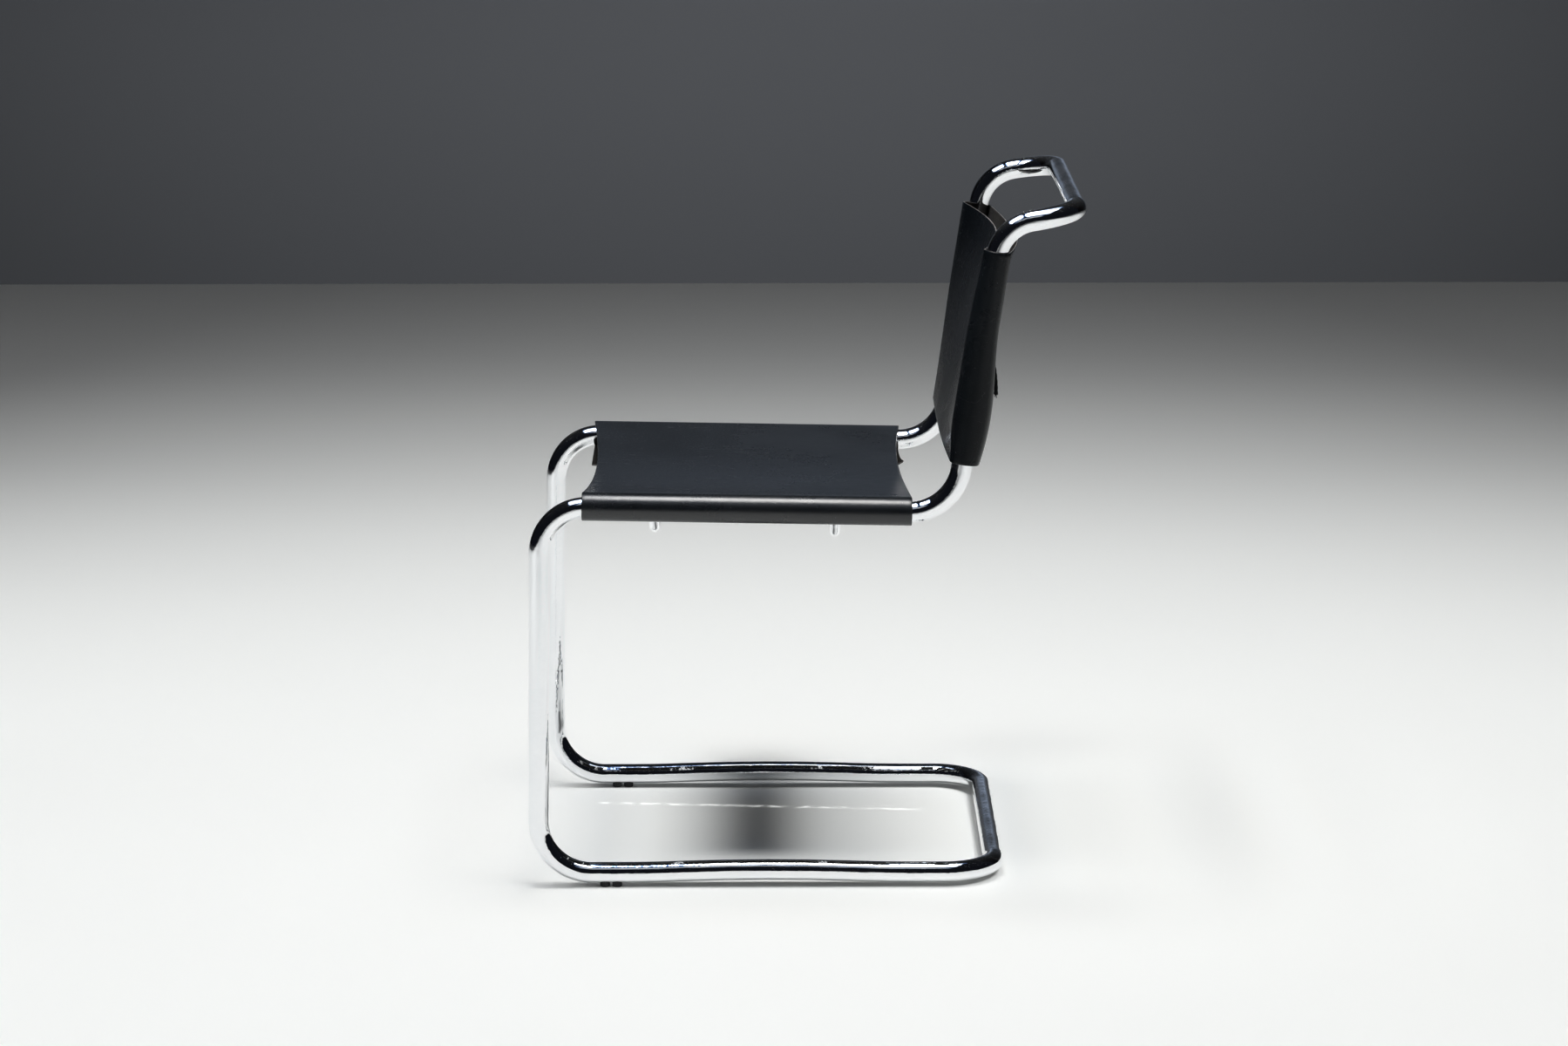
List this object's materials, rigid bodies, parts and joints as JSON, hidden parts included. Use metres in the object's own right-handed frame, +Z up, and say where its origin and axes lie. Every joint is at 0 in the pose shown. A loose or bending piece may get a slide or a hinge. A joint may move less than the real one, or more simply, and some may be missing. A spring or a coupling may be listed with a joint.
{
  "type": "cantilever side chair",
  "caption": "Armless cantilever chair: a closed loop of bent chromed steel tube carries a laced black saddle leather seat sling and back sling, so it springs under the sitter.",
  "frame": {"origin": "on the floor under the middle of the chair's overall width and depth", "axes": "+X to the sitter's left, -Y the way the sitter faces, +Z up"},
  "size_m": [0.488, 0.6682, 0.8321],
  "materials": {
    "chromed_tube": "polished chrome plate on bent steel tube",
    "chromed_rod": "polished chrome plate on bent steel rod",
    "sleeve_steel": "plain drawn steel, hidden inside the tubes",
    "screw_steel": "zinc plated",
    "saddle_leather": "black saddle leather, smooth grain side out, brown-grey flesh side inside",
    "lace_cord": "round waxed black lace",
    "glide_rubber": "black rubber"
  },
  "bodies": {
    "root": {"base_tube": "chromed_tube", "back_tube": "chromed_tube", "splice_sleeve_left": "sleeve_steel", "splice_sleeve_right": "sleeve_steel", "splice_screws": "screw_steel", "front_stretcher": "chromed_rod", "rear_stretcher": "chromed_rod", "seat_sling": "saddle_leather", "back_sling": "saddle_leather", "seat_lace": "lace_cord", "back_lace": "lace_cord", "back_lace_tail": "lace_cord", "tail_knot": "lace_cord", "front_left_glides": "glide_rubber", "front_right_glides": "glide_rubber", "rear_left_glides": "glide_rubber", "rear_right_glides": "glide_rubber"}
  },
  "joints": []
}
